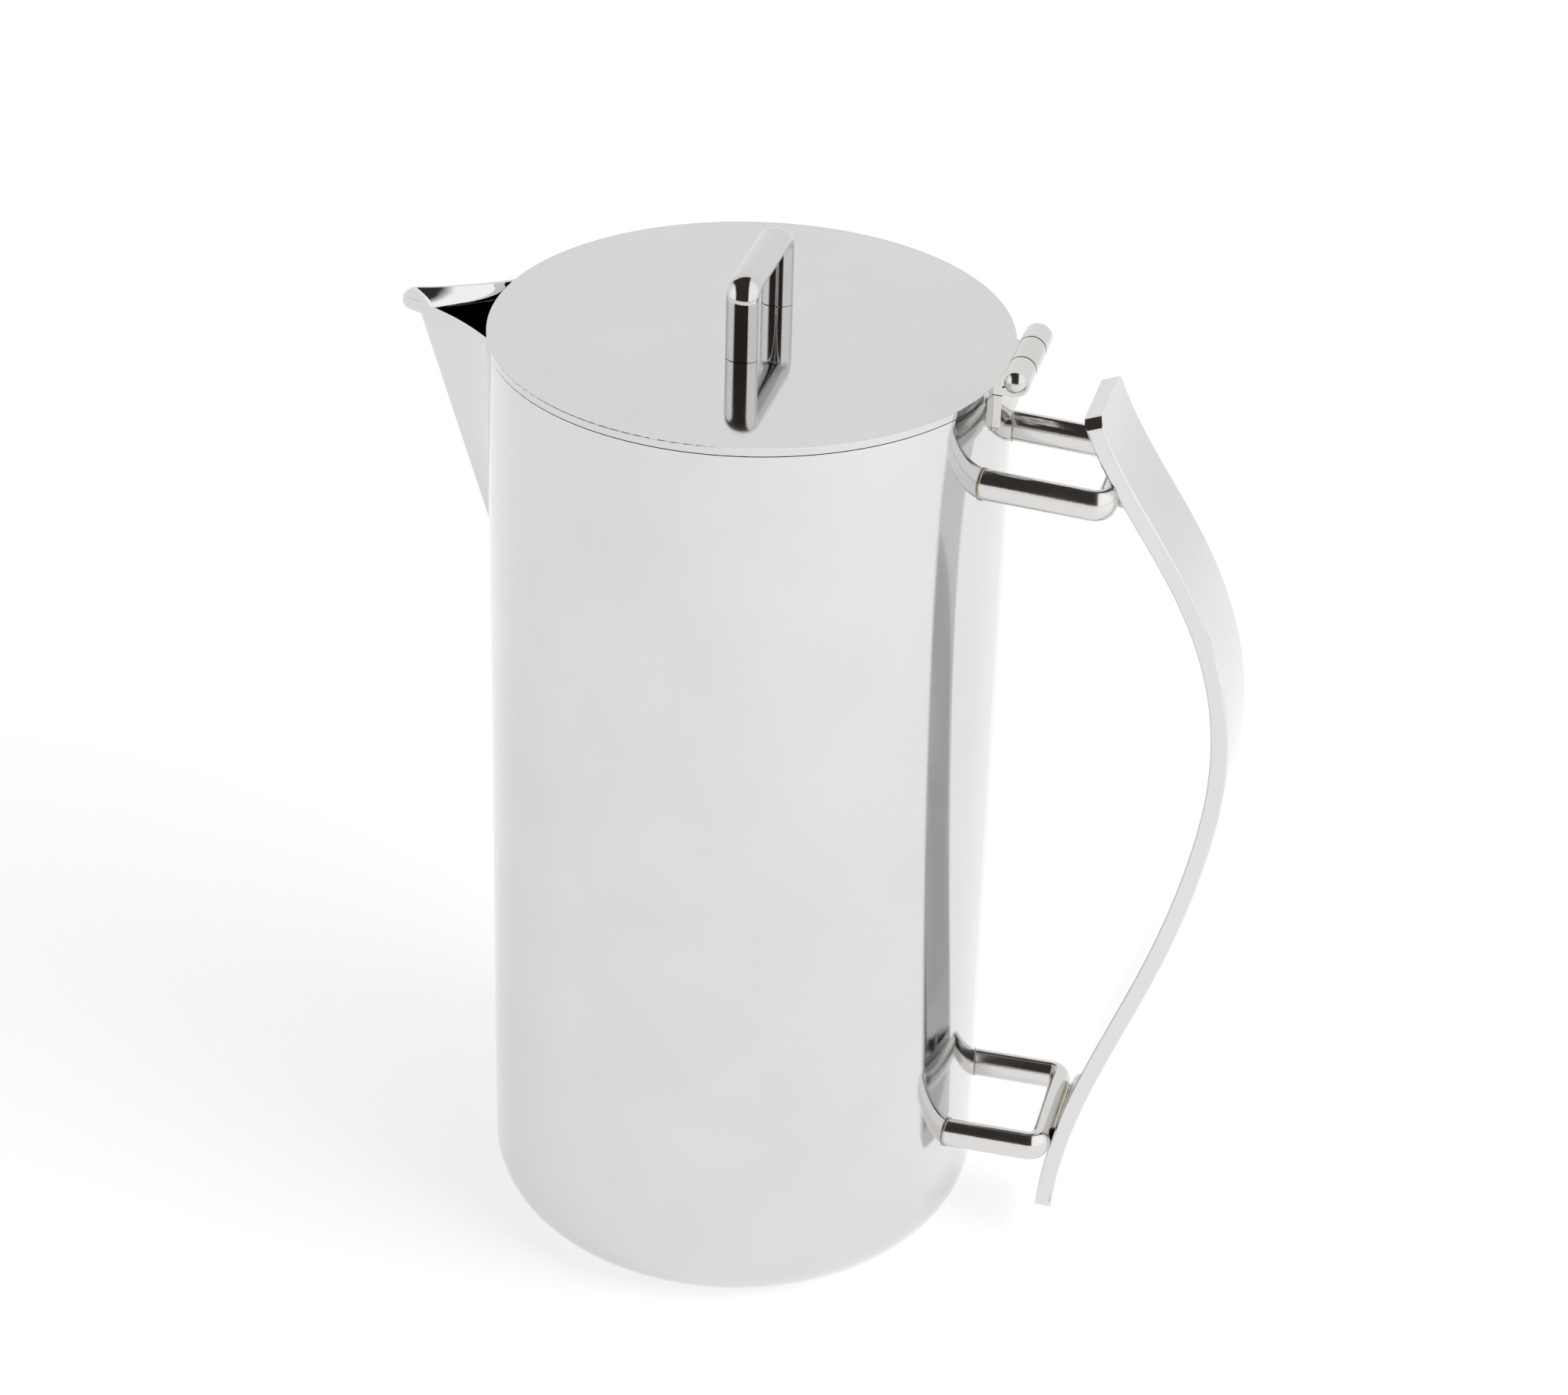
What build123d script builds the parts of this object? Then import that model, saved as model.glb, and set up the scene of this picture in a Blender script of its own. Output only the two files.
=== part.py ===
"""Stainless steel coffee pot: a straight cylindrical body with a brazed V spout, a flat lid on a
rolled barrel hinge, and a bowed strap handle carried by two U-shaped bar brackets.

Frame: millimetres, +Z up, origin at the middle of the base where the pot rests.
+X points to the handle, -X to the spout, and the hinge pin runs along Y.
"""

import os
from math import atan, cos, radians, sin

from build123d import *

# ---- driving dimensions ---------------------------------------------------------------------

SHEET = 1.6  # one gauge of sheet makes the body, spout, lid and hinge leaves

BODY_RADIUS = 52.4
BODY_HEIGHT = 202.85
BASE_CORNER_RADIUS = 12.0

LID_RADIUS = 52.5
LID_SEAT_GAP = 0.25  # lid plate above the rim of the body
LID_UNDERSIDE = BODY_HEIGHT + LID_SEAT_GAP
LID_TOP = LID_UNDERSIDE + SHEET
LID_EDGE_RADIUS = 0.12

PIN_RADIUS = 1.25
PIN_RUNNING_CLEARANCE = 0.05
PIN_HEAD_RADIUS = 2.3
PIN_HEAD_HEIGHT = 1.4
BARREL_RADIUS = PIN_RADIUS + SHEET
BARREL_LENGTH = 22.4
BARREL_SLIT = 0.5  # gap where each rolled edge stops short of closing
FIXED_SLIT_ANGLE, LID_SLIT_ANGLE = 238, 205  # where that gap sits, from +X towards +Z
MIDDLE_KNUCKLE_LENGTH = 9.2
KNUCKLE_GAP = 0.4
HINGE_X = 55.5
HINGE_Z = LID_UNDERSIDE + BARREL_RADIUS
LEAF_WIDTH = 21.6
LEAF_FOOT_Z = 195.8
LEAF_TOP_GAP = 0.4  # wall leaf below the tabs of the lid
NECK_DROP = 3.0  # the neck of the middle knuckle runs this far down into the wall leaf
LID_NOTCH_GAP = 0.5  # lid plate round the middle knuckle
TAB_OVERLAP = 2.0  # the tabs run this far into the lid plate
ROLL_OVERLAP = 0.2  # neck and tabs run this far into their knuckles

BAR_WIDTH = 4.5  # oval bar of the brackets and the pull
BAR_HEIGHT = 6.6
BAR_INNER_CORNER = 0.35
BRACKET_SPAN = 27.1  # between the centrelines of the two arms
ARM_ROOT = 12.4  # the arms start this far inside the wall, then are cut to it
UPPER_BRACKET_Z = 184.5
UPPER_BRACKET_X = 74.9  # centreline of the cross-bar
UPPER_BRACKET_TILT = 3.5  # degrees that the arms drop towards the strap
LOWER_BRACKET_Z = 28.5
LOWER_BRACKET_X = 70.5
LOWER_BRACKET_TILT = 0.0

PULL_SPAN = 27.2
PULL_HEIGHT = 17.0
PULL_X = 1.5  # the pull sits a little towards the hinge
PULL_FOOT_CHAMFER = 0.15
PULL_SCREW_RADIUS = 1.5
PULL_SCREW_DEPTH = 7.0
PULL_SCREW_HEAD_RADIUS = 2.75
PULL_SCREW_HEAD_HEIGHT = 1.7
PULL_SCREW_HEAD_EDGE = 0.6
PULL_SCREW_SLOT_WIDTH = 0.8
PULL_SCREW_SLOT_DEPTH = 0.6
PULL_SCREW_END_GAP = 0.5

STRAP_WIDTH = 21.8
STRAP_THICKNESS = 3.5
STRAP_EDGE_RADIUS = 0.45
STRAP_END_RADIUS = 2.6
STRAP_END_LENGTH = 20.0  # stretch at each end that is trimmed to the rounded outline
STRAP_BOW_X = 90.0
STRAP_STATIONS = 16  # stations along the strap where its two faces are set off its centreline
# centreline of the strap in the XZ plane, from its free top end to its free bottom end
STRAP_LINE = [
    (70.7, 200.2),
    (77.6, 186.3),
    (88.6, 169.0),
    (98.1, 148.0),
    (101.1, 125.0),
    (98.7, 105.0),
    (90.6, 75.6),
    (80.7, 49.0),
    (74.4, 28.0),
    (71.9, 10.1),
]

SPOUT_FOOT_Z = 143.0  # where the ridge of the spout leaves the body
SPOUT_FOOT_DEPTH = 0.6  # the ridge starts this far inside the wall
SPOUT_FOOT_HALF_WIDTH = 4.5
SPOUT_OPENING_CURVE = 1.7  # how early the spout widens as it rises
SPOUT_LIP_Z = 198.8  # where the lip starts to flare outwards
SPOUT_RIDGE_X = 69.0  # ridge at that height
SPOUT_ROOT_X = 46.0
SPOUT_HALF_WIDTH = 20.4  # of the root, at that height
SPOUT_SIDE_SHARE = 0.42  # half width at the middle of a side, against that of the root
SPOUT_RIDGE_RADIUS = 2.3
SPOUT_FOOT_RADIUS_SHARE = 0.35  # radius of the ridge at its foot, against that at the lip
RIDGE_BACK, RIDGE_HALF = 0.45, 0.85  # where the sides meet the ridge, for each millimetre of radius
SPOUT_WALL_LEVELS = 6
# the sheet's thickness as it shows in plan at the ridge and at the root, and its share off the radius
RIDGE_WALL, ROOT_WALL, RADIUS_WALL = 1.04, 1.2, 0.25

LIP_HEIGHT = 4.6  # the lip is formed this high, then trimmed to the rim line
LIP_BEND = 0.5  # height of the tight bend below the straight flare
LIP_SLOPE = 0.8  # of the flare
LIP_RISES = [0.0, 0.25, 0.5, 2.5, 4.6]  # levels of the lip above its start
# how far tip, sides and root reach, and the ridge's radius grows, for each millimetre of flare
LIP_TIP_REACH, LIP_SIDE_REACH, LIP_ROOT_REACH, LIP_TIP_RADIUS = 2.1, 0.2, 0.25, 0.7
# reach along the ridge and drop below the rim of the line that the lip is trimmed to
RIM_TRIM = [(50.0, 0.6), (62.0, 0.35), (70.6, 0.2), (72.6, 0.5), (73.4, 1.4), (73.8, 3.4)]

BRAZE_PROUD = 0.2
BRAZE_LENGTH = 0.4
STRAP_BEAD_RADIUS = 1.0
STRAP_BEAD_ANGLE = 20.0  # where a bead sits round the oval of its cross-bar, in degrees
STRAP_BEAD_OFFSET = 0.5
LEAF_BEAD = 0.9  # height and reach of the bead under the hinge leaf

CUT = 20.0  # cutting blanks run this far past what they cut


# ---- body -------------------------------------------------------------------------------------

def revolved_pot(radius, bottom, corner):
    """A filled cylinder with a flat base and a rounded bottom corner."""
    with BuildPart() as pot:
        with BuildSketch(Plane.XZ):
            with BuildLine():
                Line((0, bottom), (radius - corner, bottom))
                RadiusArc((radius - corner, bottom), (radius, bottom + corner), -corner)
                Polyline((radius, bottom + corner), (radius, BODY_HEIGHT), (0, BODY_HEIGHT), (0, bottom))
            make_face()
        revolve(axis=Axis.Z)
    return pot.part


def spout_outline(z, tip_x, root_y, side_y, tip_radius):
    """One level of the spout: two gently hollow sides meeting in a rounded ridge at -X."""
    root = (-SPOUT_ROOT_X, root_y)
    side = (-(SPOUT_ROOT_X + tip_x) / 2, side_y)
    meet = (RIDGE_BACK * tip_radius - tip_x, RIDGE_HALF * tip_radius)
    mirrored = [(x, -y) for x, y in (meet, side, root)]
    with BuildSketch(Plane.XY.offset(z)) as level:
        with BuildLine():
            Spline(root, side, meet)
            ThreePointArc(meet, (-tip_x, 0), mirrored[0])
            Spline(*mirrored)
            Line(mirrored[2], root)
        make_face()
    return level.sketch.face()


def spout_volume(inset):
    """The filled spout inside a wall drawn in by inset, with its lip rolled outwards."""
    walls = []
    for number in range(SPOUT_WALL_LEVELS + 1):
        rise = number / SPOUT_WALL_LEVELS
        z = SPOUT_FOOT_Z + rise * (SPOUT_LIP_Z - SPOUT_FOOT_Z)
        foot_x = BODY_RADIUS - SPOUT_FOOT_DEPTH
        reach = foot_x + rise * (SPOUT_RIDGE_X - foot_x) - RIDGE_WALL * inset
        opening = 1 - (1 - rise) ** SPOUT_OPENING_CURVE
        half_width = SPOUT_FOOT_HALF_WIDTH + opening * (SPOUT_HALF_WIDTH - SPOUT_FOOT_HALF_WIDTH)
        half_width -= ROOT_WALL * inset
        radius = SPOUT_FOOT_RADIUS_SHARE + (1 - SPOUT_FOOT_RADIUS_SHARE) * rise
        radius *= SPOUT_RIDGE_RADIUS * (1 - RADIUS_WALL * inset)
        walls.append(spout_outline(z, reach, half_width, SPOUT_SIDE_SHARE * half_width, radius))
    lips = []
    for rise in LIP_RISES:
        bend = min(rise, LIP_BEND)
        flare = LIP_SLOPE * (rise - bend + bend**2 / (2 * LIP_BEND))
        lean = atan(LIP_SLOPE * bend / LIP_BEND)
        z = SPOUT_LIP_Z + rise + inset * sin(lean)
        wall = inset * cos(lean)
        half_width = SPOUT_HALF_WIDTH - ROOT_WALL * wall
        tip_x = SPOUT_RIDGE_X + LIP_TIP_REACH * flare - RIDGE_WALL * wall
        side_y = SPOUT_SIDE_SHARE * half_width + LIP_SIDE_REACH * flare
        radius = SPOUT_RIDGE_RADIUS * (1 - RADIUS_WALL * wall) + LIP_TIP_RADIUS * flare
        lips.append(spout_outline(z, tip_x, half_width + LIP_ROOT_REACH * flare, side_y, radius))
    return loft(walls) + loft(lips)


def spout_trim():
    """Everything above the rim line of the spout, which turns down round the tip of the lip."""
    inner, outer, top = SPOUT_ROOT_X - CUT, SPOUT_RIDGE_X + CUT, BODY_HEIGHT + CUT
    rim = [(-reach, BODY_HEIGHT - drop) for reach, drop in RIM_TRIM]
    with BuildPart() as cut:
        with BuildSketch(Plane.XZ):
            with BuildLine():
                Line((-inner, rim[0][1]), rim[0])
                Spline(*rim, tangents=[(-1, 0), (-0.1, -1)])
                Polyline(rim[-1], (-outer, rim[-1][1]), (-outer, top), (-inner, top), (-inner, rim[0][1]))
            make_face()
        extrude(amount=inner, both=True)
    return cut.part


def make_body_and_spout():
    """The drawn body with its pouring opening, and the spout brazed over that opening."""
    outside = revolved_pot(BODY_RADIUS, 0, BASE_CORNER_RADIUS)
    inside = revolved_pot(BODY_RADIUS - SHEET, SHEET, BASE_CORNER_RADIUS - SHEET)
    mouth = spout_volume(SHEET)
    body = outside - inside - mouth
    barrel = Pos(0, 0, BODY_HEIGHT / 2) * Cylinder(BODY_RADIUS, BODY_HEIGHT + 2 * CUT)
    spout = spout_volume(0) - mouth - spout_trim() - barrel
    return body, spout


# ---- hinge ------------------------------------------------------------------------------------

def knuckle(length, y, bore, slit_angle):
    """A rolled knuckle round the hinge axis, open along a thin slit."""
    roll = Cylinder(BARREL_RADIUS, length, rotation=(90, 0, 0))
    roll -= Cylinder(bore, length + 1, rotation=(90, 0, 0))
    gap = Box(2 * BARREL_RADIUS, length + 1, BARREL_SLIT)
    slit = Rot(0, -slit_angle, 0) * Pos(BARREL_RADIUS, 0, 0) * gap
    return Pos(HINGE_X, y, HINGE_Z) * (roll - slit)


def knuckle_core():
    """What is cut from a neck or a tab, so that it ends inside the sheet of its knuckle."""
    return Cylinder(BARREL_RADIUS - ROLL_OVERLAP, BARREL_LENGTH, rotation=(90, 0, 0))


def lid_knuckle_length():
    return (BARREL_LENGTH - MIDDLE_KNUCKLE_LENGTH) / 2 - KNUCKLE_GAP


def make_hinge_fixed_leaf():
    """The leaf that hugs the wall and rolls up into the middle knuckle."""
    foot, top = LEAF_FOOT_Z, LID_UNDERSIDE - LEAF_TOP_GAP
    shell = Cylinder(BODY_RADIUS + SHEET, top - foot) - Cylinder(BODY_RADIUS, top - foot)
    window = Pos(BODY_RADIUS, 0, 0) * Box(CUT, LEAF_WIDTH, top - foot)
    leaf = Pos(0, 0, (foot + top) / 2) * (shell & window)
    neck_x = HINGE_X - BARREL_RADIUS
    neck_bottom = top - NECK_DROP
    neck = Pos(neck_x + SHEET / 2, 0, (neck_bottom + HINGE_Z) / 2) * Box(
        SHEET, MIDDLE_KNUCKLE_LENGTH, HINGE_Z - neck_bottom
    )
    neck -= Pos(HINGE_X, 0, HINGE_Z) * knuckle_core()
    roll = knuckle(MIDDLE_KNUCKLE_LENGTH, 0, PIN_RADIUS + PIN_RUNNING_CLEARANCE, FIXED_SLIT_ANGLE)
    return leaf + neck + roll


def make_lid_plate():
    """The flat lid, with two tabs of the same sheet rolled up into the outer knuckles."""
    plate = Pos(0, 0, LID_UNDERSIDE + SHEET / 2) * Cylinder(LID_RADIUS, SHEET)
    plate = fillet(plate.edges().filter_by(GeomType.CIRCLE).group_by(Axis.Z)[-1], LID_EDGE_RADIUS)
    length = lid_knuckle_length()
    notch_x = HINGE_X - BARREL_RADIUS - LID_NOTCH_GAP
    notch = Pos(notch_x + CUT / 2, 0, LID_TOP) * Box(CUT, MIDDLE_KNUCKLE_LENGTH + 2 * KNUCKLE_GAP, CUT)
    lid = Part() + plate - notch
    tab_start = LID_RADIUS - TAB_OVERLAP
    for side in (-1, 1):
        y = side * (BARREL_LENGTH - length) / 2
        tab = Pos((tab_start + HINGE_X) / 2, y, LID_UNDERSIDE + SHEET / 2) * Box(
            HINGE_X - tab_start, length, SHEET
        )
        lid += tab - Pos(HINGE_X, y, HINGE_Z) * knuckle_core()
        lid += knuckle(length, y, PIN_RADIUS, LID_SLIT_ANGLE)
    for x, y in pull_feet():
        lid -= Pos(x, y, LID_TOP) * Cylinder(PULL_SCREW_RADIUS, 3 * SHEET)
    return lid


def make_hinge_pin():
    """A plain rivet pin, its ends headed into low domes."""
    shank = Cylinder(PIN_RADIUS, BARREL_LENGTH, rotation=(90, 0, 0))
    sphere_radius = (PIN_HEAD_RADIUS**2 + PIN_HEAD_HEIGHT**2) / (2 * PIN_HEAD_HEIGHT)
    pin = Part() + shank
    for side in (-1, 1):
        face_y = side * BARREL_LENGTH / 2
        centre_y = face_y + side * (PIN_HEAD_HEIGHT - sphere_radius)
        ball = Pos(0, centre_y, 0) * Sphere(sphere_radius)
        keep = Pos(0, face_y + side * CUT / 2, 0) * Box(CUT, CUT, CUT)
        pin += ball & keep
    return Pos(HINGE_X, 0, HINGE_Z) * pin


# ---- bars -------------------------------------------------------------------------------------

def staple(span, reach, corner):
    """A U of oval bar in the XY plane: two arms along X from 0 to reach, joined by a cross-bar."""
    half = span / 2
    path = FilletPolyline((0, -half), (reach, -half), (reach, half), (0, half), radius=corner)
    section = Plane(origin=(0, -half, 0), x_dir=(0, 1, 0), z_dir=(1, 0, 0)) * Ellipse(
        BAR_WIDTH / 2, BAR_HEIGHT / 2
    )
    return sweep(section, path=path)


def bar_corner():
    return BAR_WIDTH / 2 + BAR_INNER_CORNER


def bracket_place(z, tilt):
    """Where a bracket's arms leave the wall, turned down towards the strap."""
    return Pos(BODY_RADIUS, 0, z) * Rot(0, tilt, 0)


def make_bracket(x, z, tilt, strap):
    """A bracket: arms fitted to the round wall, cross-bar fitted to the back of the strap."""
    bar = Pos(-ARM_ROOT, 0, 0) * staple(BRACKET_SPAN, x - BODY_RADIUS + ARM_ROOT, bar_corner())
    wall = Pos(0, 0, z) * Cylinder(BODY_RADIUS, 2 * CUT)
    return bracket_place(z, tilt) * bar - wall - strap


def make_bracket_braze(z, tilt):
    """The two thin collars of braze where a bracket's arms meet the wall."""
    wall = Pos(0, 0, z) * Cylinder(BODY_RADIUS, 2 * CUT)
    skin = Pos(0, 0, z) * Cylinder(BODY_RADIUS + BRAZE_LENGTH, 2 * CUT)
    collars = []
    for side in (-1, 1):
        end = Plane(
            origin=(-ARM_ROOT, side * BRACKET_SPAN / 2, 0), x_dir=(0, 1, 0), z_dir=(1, 0, 0)
        )
        oval = Ellipse(BAR_WIDTH / 2, BAR_HEIGHT / 2)
        wider = Ellipse(BAR_WIDTH / 2 + BRAZE_PROUD, BAR_HEIGHT / 2 + BRAZE_PROUD)
        sleeve = extrude(end * wider, 2 * ARM_ROOT)
        bar = extrude(end * oval, 2 * ARM_ROOT)
        collars.append((bracket_place(z, tilt) * (sleeve - bar) & skin - wall).solid())
    return Compound(children=collars)


def pull_feet():
    """The middles of the pull's two feet, on the lid."""
    return [(PULL_X, side * PULL_SPAN / 2) for side in (-1, 1)]


def make_lid_pull():
    """The pull: the same oval bar bent into a bridge, drilled from below for two screws."""
    bridge = staple(PULL_SPAN, PULL_HEIGHT - BAR_WIDTH / 2, bar_corner())
    bridge = Pos(PULL_X, 0, LID_TOP) * Rot(0, -90, 0) * bridge
    bridge = chamfer(bridge.edges().group_by(Axis.Z)[0], PULL_FOOT_CHAMFER)
    for x, y in pull_feet():
        bridge -= Pos(x, y, LID_TOP) * Cylinder(PULL_SCREW_RADIUS, 2 * PULL_SCREW_DEPTH)
    return bridge


def make_lid_pull_screws():
    """Two pan-head screws, up through the lid into the feet of the pull."""
    screws = []
    shank_length = SHEET + PULL_SCREW_DEPTH - PULL_SCREW_END_GAP
    for x, y in pull_feet():
        head = Pos(0, 0, -PULL_SCREW_HEAD_HEIGHT / 2) * Cylinder(
            PULL_SCREW_HEAD_RADIUS, PULL_SCREW_HEAD_HEIGHT
        )
        head = fillet(head.edges().filter_by(GeomType.CIRCLE).group_by(Axis.Z)[0], PULL_SCREW_HEAD_EDGE)
        slot = Pos(0, 0, -PULL_SCREW_HEAD_HEIGHT) * Box(
            PULL_SCREW_SLOT_WIDTH, 2 * PULL_SCREW_HEAD_RADIUS, 2 * PULL_SCREW_SLOT_DEPTH
        )
        shank = Pos(0, 0, shank_length / 2) * Cylinder(PULL_SCREW_RADIUS, shank_length)
        screw = head + shank - slot
        screws.append((Pos(x, y, LID_UNDERSIDE) * screw).solid())
    return Compound(children=screws)


# ---- handle -----------------------------------------------------------------------------------

def make_handle_strap():
    """The flat strap, bowed outwards, with softened long edges and rounded end corners."""
    line = Spline(*[(x, 0, z) for x, z in STRAP_LINE])
    stations = [number / STRAP_STATIONS for number in range(STRAP_STATIONS + 1)]
    faces = []
    for side in (-1, 1):
        offsets = []
        for station in stations:
            point, along = line @ station, line % station
            outward = Vector(-along.Z, 0, along.X).normalized()
            offsets.append(point + outward * (side * STRAP_THICKNESS / 2))
        faces.append(offsets)
    back, front = faces
    edges = [Spline(*back), Line(back[-1], front[-1]), Spline(*front), Line(front[0], back[0])]
    profile = make_face(Wire(edges))
    strap = extrude(profile, amount=STRAP_WIDTH / 2, dir=(0, 1, 0), both=True)
    long_edges = [edge for edge in strap.edges() if edge.length > 10 * STRAP_THICKNESS]
    strap = fillet(long_edges, STRAP_EDGE_RADIUS)
    return strap & strap_end_trim(line)


def strap_end_trim(line):
    """A blank whose outline, seen square to each end of the strap, has rounded corners."""
    middle_z = (STRAP_LINE[0][1] + STRAP_LINE[-1][1]) / 2
    trim = Pos(STRAP_BOW_X, 0, middle_z) * Box(
        2 * STRAP_BOW_X, 2 * STRAP_WIDTH, STRAP_LINE[0][1] - STRAP_LINE[-1][1] - 2 * STRAP_END_LENGTH
    )
    for station in (0, 1):
        inward = (line % station) * (1 if station == 0 else -1)
        square = Vector(-inward.Z, 0, inward.X)
        centre = Vector(*(line @ station)) + inward * STRAP_END_LENGTH
        place = Plane(origin=centre, x_dir=(0, 1, 0), z_dir=square)
        blank = RectangleRounded(STRAP_WIDTH, 2 * STRAP_END_LENGTH, STRAP_END_RADIUS)
        trim += extrude(place * blank, amount=STRAP_END_LENGTH, both=True)
    return trim


def make_strap_braze(strap, brackets):
    """Beads of braze in the wedge between each cross-bar and the strap."""
    beads = []
    angle = radians(STRAP_BEAD_ANGLE)
    out = BAR_WIDTH / 2 * cos(angle) + STRAP_BEAD_OFFSET
    along = BAR_HEIGHT / 2 * sin(angle)
    for x, z, tilt, lean in (
        (UPPER_BRACKET_X, UPPER_BRACKET_Z, UPPER_BRACKET_TILT, -1),
        (LOWER_BRACKET_X, LOWER_BRACKET_Z, LOWER_BRACKET_TILT, 1),
    ):
        rod = Pos(x - BODY_RADIUS + out, 0, lean * along) * Cylinder(
            STRAP_BEAD_RADIUS, STRAP_WIDTH - 2 * STRAP_END_RADIUS, rotation=(90, 0, 0)
        )
        bead = bracket_place(z, tilt) * rod - strap
        for bracket in brackets:
            bead -= bracket
        beads.append(bead.solids().sort_by(SortBy.VOLUME)[-1])
    return Compound(children=beads)


def make_hinge_leaf_braze():
    """A fillet of braze along the foot of the wall leaf."""
    ring = Cylinder(BODY_RADIUS + LEAF_BEAD, LEAF_BEAD) - Cylinder(BODY_RADIUS, 2 * LEAF_BEAD)
    window = Pos(BODY_RADIUS, 0, 0) * Box(CUT, LEAF_WIDTH, CUT)
    return Pos(0, 0, LEAF_FOOT_Z - LEAF_BEAD / 2) * (ring & window)


def build():
    """Every node of the pot by name."""
    body, spout = make_body_and_spout()
    strap = make_handle_strap()
    upper = make_bracket(UPPER_BRACKET_X, UPPER_BRACKET_Z, UPPER_BRACKET_TILT, strap)
    lower = make_bracket(LOWER_BRACKET_X, LOWER_BRACKET_Z, LOWER_BRACKET_TILT, strap)
    return {
        "body_shell": body,
        "spout": spout,
        "handle_strap": strap,
        "upper_bracket": upper,
        "lower_bracket": lower,
        "upper_bracket_braze": make_bracket_braze(UPPER_BRACKET_Z, UPPER_BRACKET_TILT),
        "lower_bracket_braze": make_bracket_braze(LOWER_BRACKET_Z, LOWER_BRACKET_TILT),
        "strap_braze": make_strap_braze(strap, (upper, lower)),
        "hinge_fixed_leaf": make_hinge_fixed_leaf(),
        "hinge_leaf_braze": make_hinge_leaf_braze(),
        "lid_plate": make_lid_plate(),
        "lid_pull": make_lid_pull(),
        "lid_pull_screws": make_lid_pull_screws(),
        "hinge_pin": make_hinge_pin(),
    }


os.makedirs("parts", exist_ok=True)
for name, shape in build().items():
    export_step(shape, f"parts/{name}.step")
    print(f"{name}: {len(shape.solids())} solid(s), {shape.volume:.0f} mm3")
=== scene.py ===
"""Stainless steel coffee pot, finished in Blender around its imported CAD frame.

Metres, +Z up, origin at the middle of the base. +X points to the handle and -X to the spout.
"""

import math

import bmesh
import bpy
from bpy.props import FloatProperty, FloatVectorProperty, PointerProperty
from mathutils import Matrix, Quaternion, Vector, noise


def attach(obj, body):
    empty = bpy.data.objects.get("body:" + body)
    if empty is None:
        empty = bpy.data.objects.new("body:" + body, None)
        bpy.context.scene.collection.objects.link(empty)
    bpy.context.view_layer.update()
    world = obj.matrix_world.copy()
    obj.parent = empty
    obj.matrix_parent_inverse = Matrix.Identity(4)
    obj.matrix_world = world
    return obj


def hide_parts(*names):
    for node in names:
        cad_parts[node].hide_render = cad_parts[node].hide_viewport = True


bl_info = {
    "name": "Coffee Pot",
    "version": (1, 0, 0),
    "blender": (4, 5, 0),
    "location": "3D View > Sidebar > Coffee Pot",
    "description": "Finishes the pieces of a stainless steel coffee pot and builds its studio",
    "category": "Object",
}

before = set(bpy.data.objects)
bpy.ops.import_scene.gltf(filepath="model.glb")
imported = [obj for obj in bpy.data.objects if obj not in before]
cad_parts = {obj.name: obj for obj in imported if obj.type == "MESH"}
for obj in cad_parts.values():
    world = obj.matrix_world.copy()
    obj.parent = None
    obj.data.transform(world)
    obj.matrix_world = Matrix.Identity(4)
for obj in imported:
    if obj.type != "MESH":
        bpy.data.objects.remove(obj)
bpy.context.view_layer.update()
MM = 0.001

# millimetres between, and the darkest tone of, the soft patches that a buffing wheel leaves
HAZE_SPACING, HAZE_TONE = 26.0, 0.96
PIT_TONE = 0.55  # tone of a pit's floor
NOISE_LOW, NOISE_HIGH = 0.3, 0.7  # nearly all values of a noise lie between these

# the braze's grains: millimetres apart, darkest tone, millimetres high, and roughness of low and high
GRAIN_SPACING, GRAIN_TONE, GRAIN_HEIGHT, GRAIN_RELIEF = 0.9, 0.72, 0.05, 0.6
GRAIN_ROUGHNESS = (0.34, 0.2)
WELD_DISTANCE = 0.002 * MM  # corners closer than this are one
SMOOTHING_PASSES = 3

FLOOR_SIDES = 96
BOX_SIZE, BOX_HEIGHT = 0.9, 0.9  # of the soft boxes, in metres
BOX_AIM = (0.0, 0.0, 0.1)
LEFT_BOX, RIGHT_BOX = (-1.1, 0.1, 0.5), (1.0, 0.5, 14.0)  # metres right, metres nearer, watts
SHEETS_START, SHEETS_FULL = -0.3, 0.1  # where the backdrop gives way to the side sheets
GAP_EDGE = 0.05  # half the soft edge of the dark gap, as a share of a direction
BACKDROP_TOP_START, BACKDROP_TOP_END = -0.6, -0.48  # where the gap ends over the backdrop


def linear(code):
    """Turns an sRGB hex colour, such as "C8C6C2", into linear RGBA."""
    parts = [int(code[start:start + 2], 16) / 255 for start in (0, 2, 4)]
    return [c / 12.92 if c <= 0.04045 else ((c + 0.055) / 1.055) ** 2.4 for c in parts] + [1.0]


def colour(name, description, code):
    """A colour property whose default is an sRGB hex value."""
    return FloatVectorProperty(
        name=name, description=description, subtype="COLOR", size=4, min=0.0, max=1.0, default=linear(code)
    )


def share(name, description, default):
    """A property between 0 and 1."""
    return FloatProperty(name=name, description=description, default=default, min=0.0, max=1.0)


# ---- settings ---------------------------------------------------------------------------------

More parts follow.
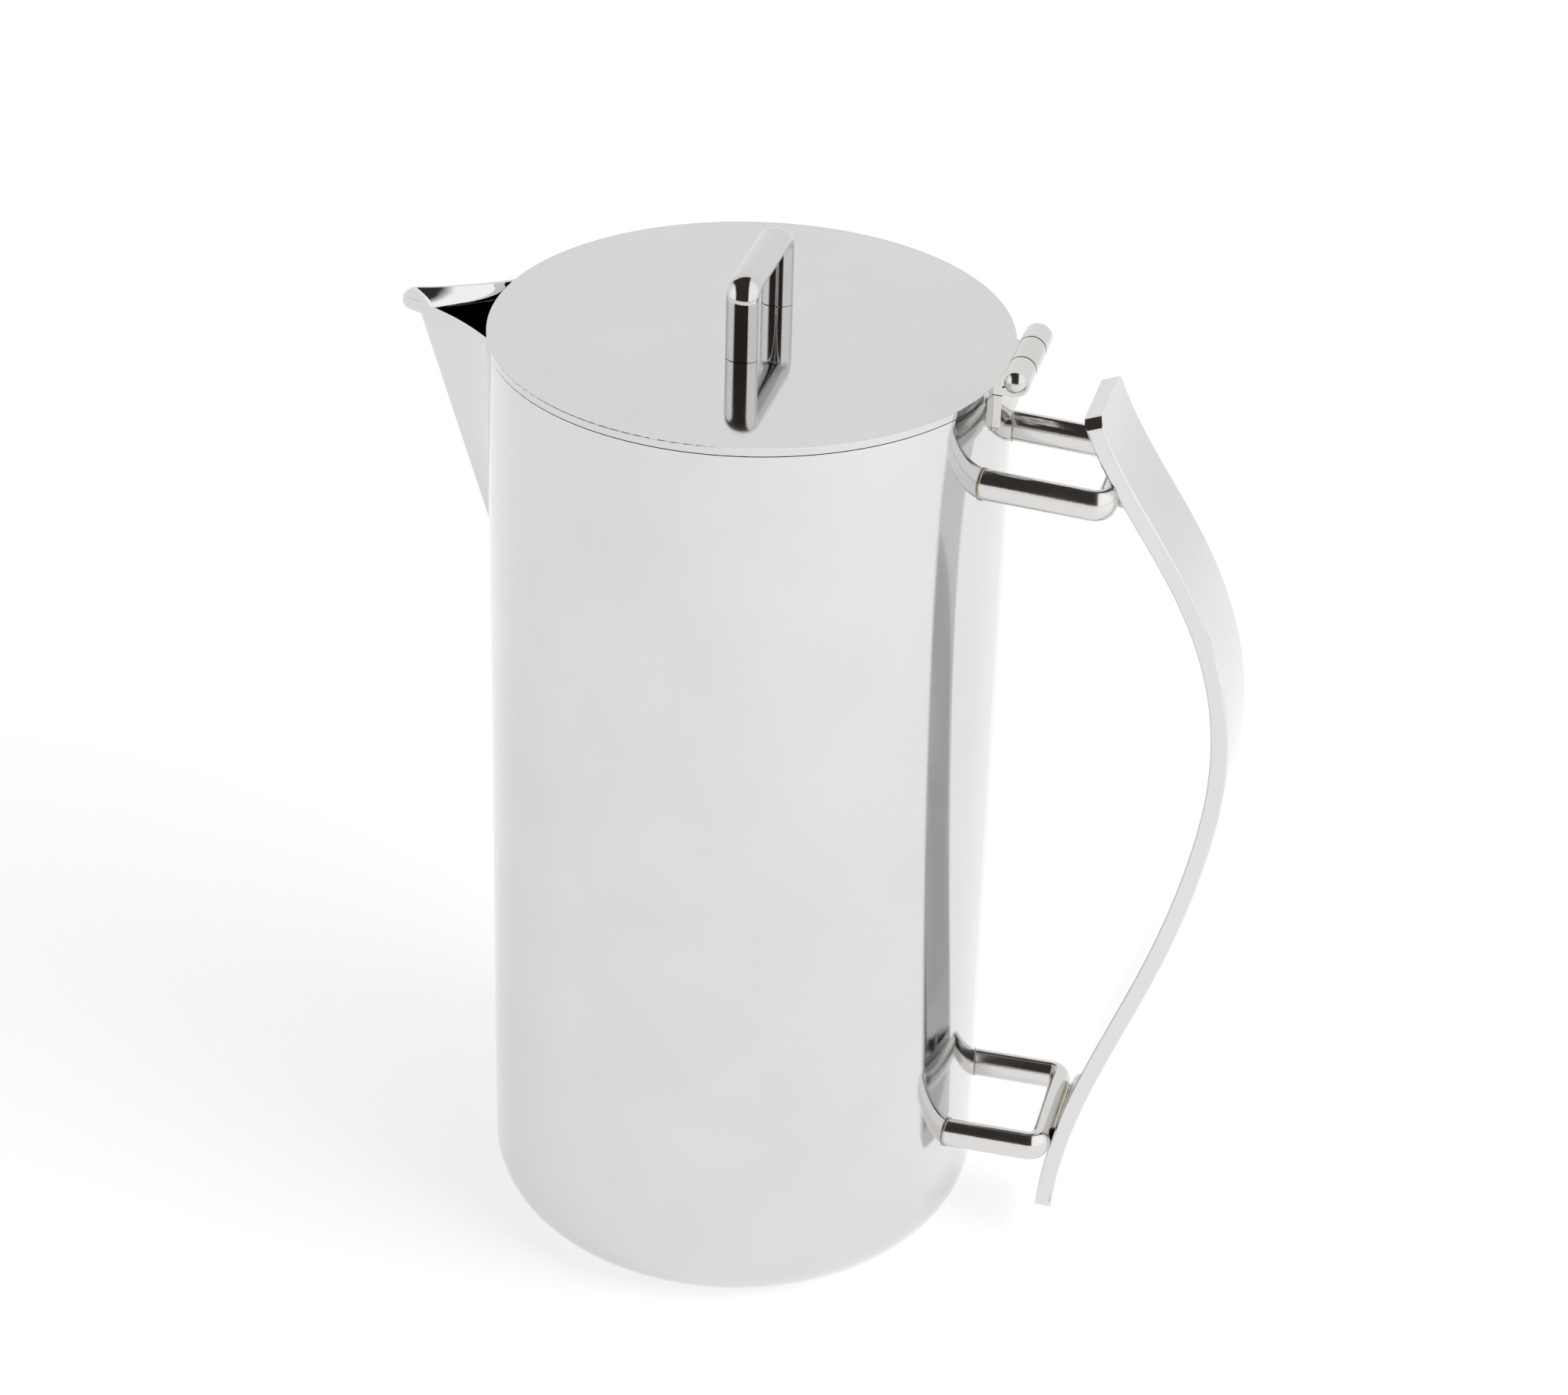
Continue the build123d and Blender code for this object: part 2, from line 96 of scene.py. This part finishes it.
class CoffeePotFinish(bpy.types.PropertyGroup):
    """Colours and finishes of the pot's metals."""

    wall_colour: colour("Wall", "Buffed steel of the body and spout", "D8D8D8")
    lid_colour: colour("Lid", "Mirror-polished steel of the lid", "D4D4D3")
    bar_colour: colour("Bar", "Polished steel of the brackets", "D9D7D5")
    pull_colour: colour("Pull", "Mirror-polished steel of the pull", "CFCECD")
    strap_colour: colour("Strap", "Polished steel of the handle strap", "DADADA")
    hinge_colour: colour("Hinge", "Polished steel of the hinge", "D2D0CD")
    braze_colour: colour("Braze", "Silver brazing alloy, faintly yellow", "CAC5B6")
    wall_roughness: share("Wall roughness", "Roughness of the buffed wall", 0.07)
    lid_roughness: share("Lid roughness", "Roughness of the lid", 0.06)
    bar_roughness: share("Bar roughness", "Roughness of the brackets", 0.16)
    mirror_roughness: share("Pull roughness", "Roughness of the pull", 0.035)
    strap_roughness: share("Strap roughness", "Roughness of the strap", 0.06)
    hinge_roughness: share("Hinge roughness", "Roughness of the hinge leaf", 0.08)
    rivet_roughness: share("Rivet roughness", "Roughness of the pin's heads and the screws", 0.2)


class CoffeePotBraze(bpy.types.PropertyGroup):
    """Sizes of the brazed joints."""

    grain: FloatProperty(
        name="Grain", description="Size of the faces that the braze is rebuilt with",
        default=0.08 * MM, unit="LENGTH", precision=5,
    )
    lump_height: FloatProperty(
        name="Lump height", description="How far the braze's lumps stand proud or sink",
        default=0.05 * MM, unit="LENGTH", precision=5,
    )
    lump_spacing: FloatProperty(
        name="Lump spacing", description="Distance between the lumps",
        default=1.2 * MM, unit="LENGTH", precision=5,
    )


class CoffeePotStage(bpy.types.PropertyGroup):
    """The camera, the floor and the light."""

    camera_place: FloatVectorProperty(
        name="Camera place", description="Where the camera stands", subtype="TRANSLATION", unit="LENGTH",
        default=(0.1825, -0.7130, 0.5509),
    )
    camera_target: FloatVectorProperty(
        name="Camera target", description="Point in the middle of the picture", subtype="TRANSLATION",
        unit="LENGTH", default=(0.00869, 0.0, 0.1216),
    )
    camera_roll: FloatProperty(
        name="Camera roll", description="Tilt of the camera about its own axis", subtype="ANGLE",
        default=math.radians(1.659),
    )
    lens: FloatProperty(
        name="Lens", description="Focal length on a 36 mm sensor, in millimetres", default=93.99
    )
    floor_colour: colour("Floor", "White acrylic of the studio floor", "A2A2A2")
    floor_glow: FloatProperty(
        name="Floor glow", description="Light that comes up through the acrylic floor", default=0.71
    )
    floor_radius: FloatProperty(
        name="Floor radius", description="Radius of the studio floor", default=7.0, unit="LENGTH"
    )
    backdrop_light: FloatProperty(
        name="Backdrop", description="Radiance of the white backdrop behind the pot", default=1.0
    )
    side_light: FloatProperty(
        name="Sides", description="Radiance of the white sheets left and right", default=1.3
    )
    gap_middle: FloatProperty(
        name="Gap middle", description="Sideways share of the directions in the middle of the dark gap",
        default=-0.25,
    )
    gap_half_width: FloatProperty(
        name="Gap half width", description="Sideways share from the middle of the gap to its edge",
        default=0.5,
    )
    dark_studio: colour("Dark studio", "Unlit gap above and in front of the pot", "3A3533")


# ---- nodes ------------------------------------------------------------------------------------

def add_node(tree, kind, inputs=None, **settings):
    """Adds a node with its settings. An input is given a value, or a socket to be linked to."""
    made = tree.nodes.new(kind)
    for name, value in settings.items():
        setattr(made, name, value)
    for name, value in (inputs or {}).items():
        if isinstance(value, bpy.types.NodeSocket):
            tree.links.new(value, made.inputs[name])
        else:
            made.inputs[name].default_value = value
    return made


def per_metre(millimetres):
    """Scale of a noise on Object coordinates whose features are this far apart."""
    return 1.0 / (millimetres * MM)


def steel(name, base, roughness, haze=0.25, ripple=None, streaks=None, specks=None):
    """Polished stainless steel.

    haze is the share by which roughness drifts in soft patches, ripple is (spacing mm along X, Y
    and Z, height mm) of the slow waves left by buffing, streaks is the same for the fine lines of
    drawing or wiping, and specks is (spacing mm, radius mm) of tiny pits.
    """
    material = bpy.data.materials.new(name)
    material.use_nodes = True
    tree = material.node_tree
    tree.nodes.clear()
    place = add_node(tree, "ShaderNodeTexCoord").outputs["Object"]

    patches = add_node(
        tree, "ShaderNodeTexNoise",
        {"Vector": place, "Scale": per_metre(HAZE_SPACING), "Detail": 3.0, "Roughness": 0.5},
    ).outputs["Fac"]
    tone = add_node(
        tree, "ShaderNodeMapRange",
        {
            "Value": patches, "From Min": NOISE_LOW, "From Max": NOISE_HIGH,
            "To Min": HAZE_TONE, "To Max": 1.0,
        },
    ).outputs["Result"]
    dull = add_node(
        tree, "ShaderNodeMapRange",
        {
            "Value": patches, "From Min": NOISE_LOW, "From Max": NOISE_HIGH,
            "To Min": roughness * (1 - haze), "To Max": roughness * (1 + haze),
        },
    ).outputs["Result"]
    if specks:
        spacing, radius = specks
        cells = add_node(
            tree, "ShaderNodeTexVoronoi", {"Vector": place, "Scale": per_metre(spacing)}
        ).outputs["Distance"]
        edge = radius / spacing
        pits = add_node(
            tree, "ShaderNodeMapRange",
            {"Value": cells, "From Min": edge / 2, "From Max": edge, "To Min": PIT_TONE, "To Max": 1.0},
        ).outputs["Result"]
        tone = add_node(tree, "ShaderNodeMath", {0: tone, 1: pits}, operation="MULTIPLY").outputs[0]
    tinted = add_node(
        tree, "ShaderNodeVectorMath", {0: list(base)[:3], "Scale": tone}, operation="SCALE"
    ).outputs["Vector"]

    inputs = {"Base Color": tinted, "Metallic": 1.0, "Roughness": dull}
    for relief in (ripple, streaks):
        if relief:
            spacings, height = relief[:3], relief[3]
            stretched = add_node(
                tree, "ShaderNodeMapping", {"Vector": place, "Scale": [per_metre(mm) for mm in spacings]}
            ).outputs["Vector"]
            waves = add_node(
                tree, "ShaderNodeTexNoise",
                {"Vector": stretched, "Scale": 1.0, "Detail": 1.0, "Roughness": 0.4},
            ).outputs["Fac"]
            bump = {"Height": waves, "Distance": height * MM, "Strength": 1.0}
            if "Normal" in inputs:
                bump["Normal"] = inputs["Normal"]
            inputs["Normal"] = add_node(tree, "ShaderNodeBump", bump).outputs["Normal"]
    shader = add_node(tree, "ShaderNodeBsdfPrincipled", inputs)
    add_node(tree, "ShaderNodeOutputMaterial", {"Surface": shader.outputs["BSDF"]})
    return material


def braze_alloy(name, base):
    """Silver brazing alloy: a frozen, slightly grainy skin, dull beside the polished steel."""
    material = bpy.data.materials.new(name)
    material.use_nodes = True
    tree = material.node_tree
    tree.nodes.clear()
    place = add_node(tree, "ShaderNodeTexCoord").outputs["Object"]
    grains = add_node(
        tree, "ShaderNodeTexNoise",
        {"Vector": place, "Scale": per_metre(GRAIN_SPACING), "Detail": 4.0, "Roughness": 0.6},
    ).outputs["Fac"]
    tone = add_node(
        tree, "ShaderNodeMapRange",
        {
            "Value": grains, "From Min": NOISE_LOW, "From Max": NOISE_HIGH,
            "To Min": GRAIN_TONE, "To Max": 1.0,
        },
    ).outputs["Result"]
    tinted = add_node(
        tree, "ShaderNodeVectorMath", {0: list(base)[:3], "Scale": tone}, operation="SCALE"
    ).outputs["Vector"]
    dull = add_node(
        tree, "ShaderNodeMapRange",
        {
            "Value": grains, "From Min": NOISE_LOW, "From Max": NOISE_HIGH,
            "To Min": GRAIN_ROUGHNESS[0], "To Max": GRAIN_ROUGHNESS[1],
        },
    ).outputs["Result"]
    normal = add_node(
        tree, "ShaderNodeBump",
        {"Height": grains, "Distance": GRAIN_HEIGHT * MM, "Strength": GRAIN_RELIEF},
    ).outputs["Normal"]
    shader = add_node(
        tree, "ShaderNodeBsdfPrincipled",
        {"Base Color": tinted, "Metallic": 1.0, "Roughness": dull, "Normal": normal},
    )
    add_node(tree, "ShaderNodeOutputMaterial", {"Surface": shader.outputs["BSDF"]})
    return material


def coat(node_names, material):
    """Gives carried-over CAD nodes a finished material."""
    for name in node_names:
        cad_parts[name].material_slots[0].material = material


# ---- pieces -----------------------------------------------------------------------------------

class COFFEEPOT_OT_steel(bpy.types.Operator):
    """Polish the steel pieces that keep their CAD shape"""

    bl_idname = "coffee_pot.steel"
    bl_label = "Polish Steel"

    def execute(self, context):
        finish = context.scene.coffee_pot_finish
        # 18/8 stainless sheet, drawn and buffed: a clean mirror with slow waves and a soft haze
        wall = steel(
            "stainless_steel_buffed_wall", finish.wall_colour, finish.wall_roughness, haze=0.35,
            ripple=(30.0, 30.0, 110.0, 0.012), specks=(34.0, 0.16),
        )
        # 18/8 stainless plate, mirror-polished: faint wiping lines and a few dark pits
        lid = steel(
            "stainless_steel_mirror_lid", finish.lid_colour, finish.lid_roughness, haze=0.3,
            ripple=(40.0, 40.0, 40.0, 0.006), streaks=(9.0, 0.5, 4.0, 0.00006), specks=(11.0, 0.2),
        )
        # 18/8 stainless bar, drawn, bent and polished along its length: streaked dark and light bands
        bar = steel(
            "stainless_steel_drawn_bar", finish.bar_colour, finish.bar_roughness, haze=0.3,
            ripple=(12.0, 7.0, 7.0, 0.005), streaks=(14.0, 0.5, 0.5, 0.0003),
        )
        # the same bar stood up as the lid's pull, polished brighter
        pull = steel(
            "stainless_steel_mirror_pull", finish.pull_colour, finish.mirror_roughness, haze=0.3,
            ripple=(6.0, 8.0, 8.0, 0.004), streaks=(0.6, 8.0, 8.0, 0.0001),
        )
        # 18/8 stainless strip, bent and polished: long lazy waves and crisp edges
        strap = steel(
            "stainless_steel_polished_strap", finish.strap_colour, finish.strap_roughness, haze=0.3,
            ripple=(22.0, 22.0, 40.0, 0.010), specks=(12.0, 0.2),
        )
        # 18/8 stainless sheet, rolled and hand-polished: small dents beside the knuckles
        hinge = steel(
            "stainless_steel_rolled_hinge", finish.hinge_colour, finish.hinge_roughness, haze=0.4,
            ripple=(3.0, 3.0, 3.0, 0.006),
        )
        # 18/8 stainless wire, headed over: a duller, hammered dome
        rivet = steel(
            "stainless_steel_headed_rivet", finish.hinge_colour, finish.rivet_roughness, haze=0.4,
            ripple=(0.9, 0.9, 0.9, 0.006),
        )
        coat(["body_shell", "spout"], wall)
        coat(["lid_plate"], lid)
        coat(["upper_bracket", "lower_bracket"], bar)
        coat(["lid_pull"], pull)
        coat(["handle_strap"], strap)
        coat(["hinge_fixed_leaf"], hinge)
        coat(["hinge_pin", "lid_pull_screws"], rivet)
        return {"FINISHED"}


class COFFEEPOT_OT_braze(bpy.types.Operator):
    """Rebuild the brazed joints as frozen, slightly lumpy metal"""

    bl_idname = "coffee_pot.braze"
    bl_label = "Flow Braze"

    def execute(self, context):
        sizes = context.scene.coffee_pot_braze
        alloy = braze_alloy("silver_brazing_alloy", context.scene.coffee_pot_finish.braze_colour)
        for name in ("upper_bracket_braze", "lower_bracket_braze", "strap_braze", "hinge_leaf_braze"):
            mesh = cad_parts[name].data.copy()
            piece = bpy.data.objects.new(name + "_bead", mesh)
            context.scene.collection.objects.link(piece)
            joined = bmesh.new()
            joined.from_mesh(mesh)
            bmesh.ops.remove_doubles(joined, verts=joined.verts, dist=WELD_DISTANCE)
            joined.to_mesh(mesh)
            joined.free()
            rebuilt = piece.modifiers.new("rebuilt", "REMESH")
            rebuilt.mode = "VOXEL"
            rebuilt.voxel_size = sizes.grain
            shown = piece.evaluated_get(context.evaluated_depsgraph_get())
            piece.data = bpy.data.meshes.new_from_object(shown)
            piece.modifiers.clear()
            bead = bmesh.new()
            bead.from_mesh(piece.data)
            for _ in range(SMOOTHING_PASSES):
                bmesh.ops.smooth_vert(
                    bead, verts=bead.verts, factor=0.5, use_axis_x=True, use_axis_y=True, use_axis_z=True
                )
            bead.normal_update()
            for vert in bead.verts:
                vert.co += vert.normal * sizes.lump_height * noise.noise(vert.co / sizes.lump_spacing)
            bead.to_mesh(piece.data)
            bead.free()
            piece.data.shade_smooth()
            piece.data.materials.clear()
            piece.data.materials.append(alloy)
            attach(piece, "pot")
            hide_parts(name)
        return {"FINISHED"}


# ---- stage ------------------------------------------------------------------------------------

def studio_world(settings, toward_camera, toward_side):
    """A white backdrop behind the pot and white sheets at its sides, with a dark gap between them."""
    world = bpy.data.worlds.new("studio")
    bpy.context.scene.world = world
    world.use_nodes = True
    tree = world.node_tree
    tree.nodes.clear()
    way = add_node(tree, "ShaderNodeTexCoord").outputs["Generated"]
    front = add_node(
        tree, "ShaderNodeVectorMath", {0: way, 1: toward_camera}, operation="DOT_PRODUCT"
    ).outputs["Value"]
    across = add_node(
        tree, "ShaderNodeVectorMath", {0: way, 1: toward_side}, operation="DOT_PRODUCT"
    ).outputs["Value"]
    off_middle = add_node(
        tree, "ShaderNodeMath", {0: across, 1: settings.gap_middle}, operation="SUBTRACT"
    ).outputs[0]
    off_middle = add_node(tree, "ShaderNodeMath", {0: off_middle}, operation="ABSOLUTE").outputs[0]
    sheets = add_node(
        tree, "ShaderNodeMapRange",
        {
            "Value": front, "From Min": SHEETS_START, "From Max": SHEETS_FULL,
            "To Min": settings.backdrop_light, "To Max": settings.side_light,
        },
    ).outputs["Result"]
    # a dark gap between the sheets: from the camera over the top, down to the backdrop's upper edge
    gap = add_node(
        tree, "ShaderNodeMapRange",
        {
            "Value": off_middle,
            "From Min": settings.gap_half_width + GAP_EDGE, "From Max": settings.gap_half_width - GAP_EDGE,
        },
    ).outputs["Result"]
    before_edge = add_node(
        tree, "ShaderNodeMapRange",
        {"Value": front, "From Min": BACKDROP_TOP_START, "From Max": BACKDROP_TOP_END},
    ).outputs["Result"]
    dark = add_node(tree, "ShaderNodeMath", {0: gap, 1: before_edge}, operation="MULTIPLY").outputs[0]
    bright = add_node(tree, "ShaderNodeBackground", {"Color": (1.0, 1.0, 1.0, 1.0), "Strength": sheets})
    unlit = add_node(tree, "ShaderNodeBackground", {"Color": list(settings.dark_studio), "Strength": 1.0})
    room = add_node(tree, "ShaderNodeMixShader", {0: dark, 1: bright.outputs[0], 2: unlit.outputs[0]})
    # past the floor's edge a camera sees plain white, whichever way it looks
    white = add_node(tree, "ShaderNodeBackground", {"Color": (1.0, 1.0, 1.0, 1.0), "Strength": 1.0})
    seen = add_node(tree, "ShaderNodeLightPath").outputs["Is Camera Ray"]
    mixed = add_node(tree, "ShaderNodeMixShader", {0: seen, 1: room.outputs[0], 2: white.outputs[0]})
    add_node(tree, "ShaderNodeOutputWorld", {"Surface": mixed.outputs[0]})


def soft_light(name, place, power):
    """A square soft box aimed at the middle of the pot, which lights the floor but isn't mirrored."""
    lamp = bpy.data.lights.new(name, "AREA")
    lamp.shape = "SQUARE"
    lamp.size = BOX_SIZE
    lamp.energy = power
    box = bpy.data.objects.new(name, lamp)
    bpy.context.scene.collection.objects.link(box)
    box.location = place
    box.rotation_mode = "QUATERNION"
    box.rotation_quaternion = (Vector(BOX_AIM) - place).to_track_quat("-Z", "Y")
    box.visible_camera = False
    box.visible_glossy = False


class COFFEEPOT_OT_stage(bpy.types.Operator):
    """Build the floor, the light and the camera"""

    bl_idname = "coffee_pot.stage"
    bl_label = "Build Stage"

    def execute(self, context):
        settings = context.scene.coffee_pot_stage
        disc = bmesh.new()
        bmesh.ops.create_circle(disc, cap_ends=True, segments=FLOOR_SIDES, radius=settings.floor_radius)
        mesh = bpy.data.meshes.new("studio_floor")
        disc.to_mesh(mesh)
        disc.free()
        floor = bpy.data.objects.new("studio_floor", mesh)
        context.scene.collection.objects.link(floor)
        acrylic = bpy.data.materials.new("white_acrylic_light_table")
        acrylic.use_nodes = True
        shader = acrylic.node_tree.nodes["Principled BSDF"]
        shader.inputs["Base Color"].default_value = settings.floor_colour
        shader.inputs["Roughness"].default_value = 0.9
        shader.inputs["Specular IOR Level"].default_value = 0.1
        shader.inputs["Emission Color"].default_value = (1.0, 1.0, 1.0, 1.0)
        shader.inputs["Emission Strength"].default_value = settings.floor_glow
        mesh.materials.append(acrylic)

        place, target = Vector(settings.camera_place), Vector(settings.camera_target)
        flat = Vector((place.x - target.x, place.y - target.y, 0.0)).normalized()
        side = Vector((-flat.y, flat.x, 0.0))
        studio_world(settings, flat, side)
        for name, (right, nearer, power) in (("left_soft_box", LEFT_BOX), ("right_soft_box", RIGHT_BOX)):
            soft_light(name, side * right + flat * nearer + Vector((0.0, 0.0, BOX_HEIGHT)), power)

        lens = bpy.data.cameras.new("camera")
        lens.lens = settings.lens
        lens.sensor_width = 36.0
        lens.clip_start = 0.01
        camera = bpy.data.objects.new("camera", lens)
        context.scene.collection.objects.link(camera)
        camera.location = place
        camera.rotation_mode = "QUATERNION"
        aim = (target - place).to_track_quat("-Z", "Y")
        camera.rotation_quaternion = aim @ Quaternion((0.0, 0.0, 1.0), settings.camera_roll)
        context.scene.camera = camera
        context.scene.view_settings.view_transform = "Standard"
        return {"FINISHED"}


# ---- panel and registration -------------------------------------------------------------------

class COFFEEPOT_PT_sidebar(bpy.types.Panel):
    """Lists the steps that finish the pot"""

    bl_label = "Coffee Pot"
    bl_idname = "COFFEEPOT_PT_sidebar"
    bl_space_type = "VIEW_3D"
    bl_region_type = "UI"
    bl_category = "Coffee Pot"

    def draw(self, context):
        for group in SETTINGS:
            settings = getattr(context.scene, group)
            for name in settings.__annotations__:
                self.layout.prop(settings, name)
        for step in STEPS:
            self.layout.operator(step.bl_idname)


SETTINGS = {
    "coffee_pot_finish": CoffeePotFinish,
    "coffee_pot_braze": CoffeePotBraze,
    "coffee_pot_stage": CoffeePotStage,
}
STEPS = (COFFEEPOT_OT_steel, COFFEEPOT_OT_braze, COFFEEPOT_OT_stage)


def register():
    for name, group in SETTINGS.items():
        bpy.utils.register_class(group)
        setattr(bpy.types.Scene, name, PointerProperty(type=group))
    for step in STEPS:
        bpy.utils.register_class(step)
    bpy.utils.register_class(COFFEEPOT_PT_sidebar)


def unregister():
    bpy.utils.unregister_class(COFFEEPOT_PT_sidebar)
    for step in reversed(STEPS):
        bpy.utils.unregister_class(step)
    for name, group in reversed(SETTINGS.items()):
        delattr(bpy.types.Scene, name)
        bpy.utils.unregister_class(group)


def main():
    register()
    bpy.ops.coffee_pot.steel()
    bpy.ops.coffee_pot.braze()
    bpy.ops.coffee_pot.stage()


if __name__ == "__main__":
    main()
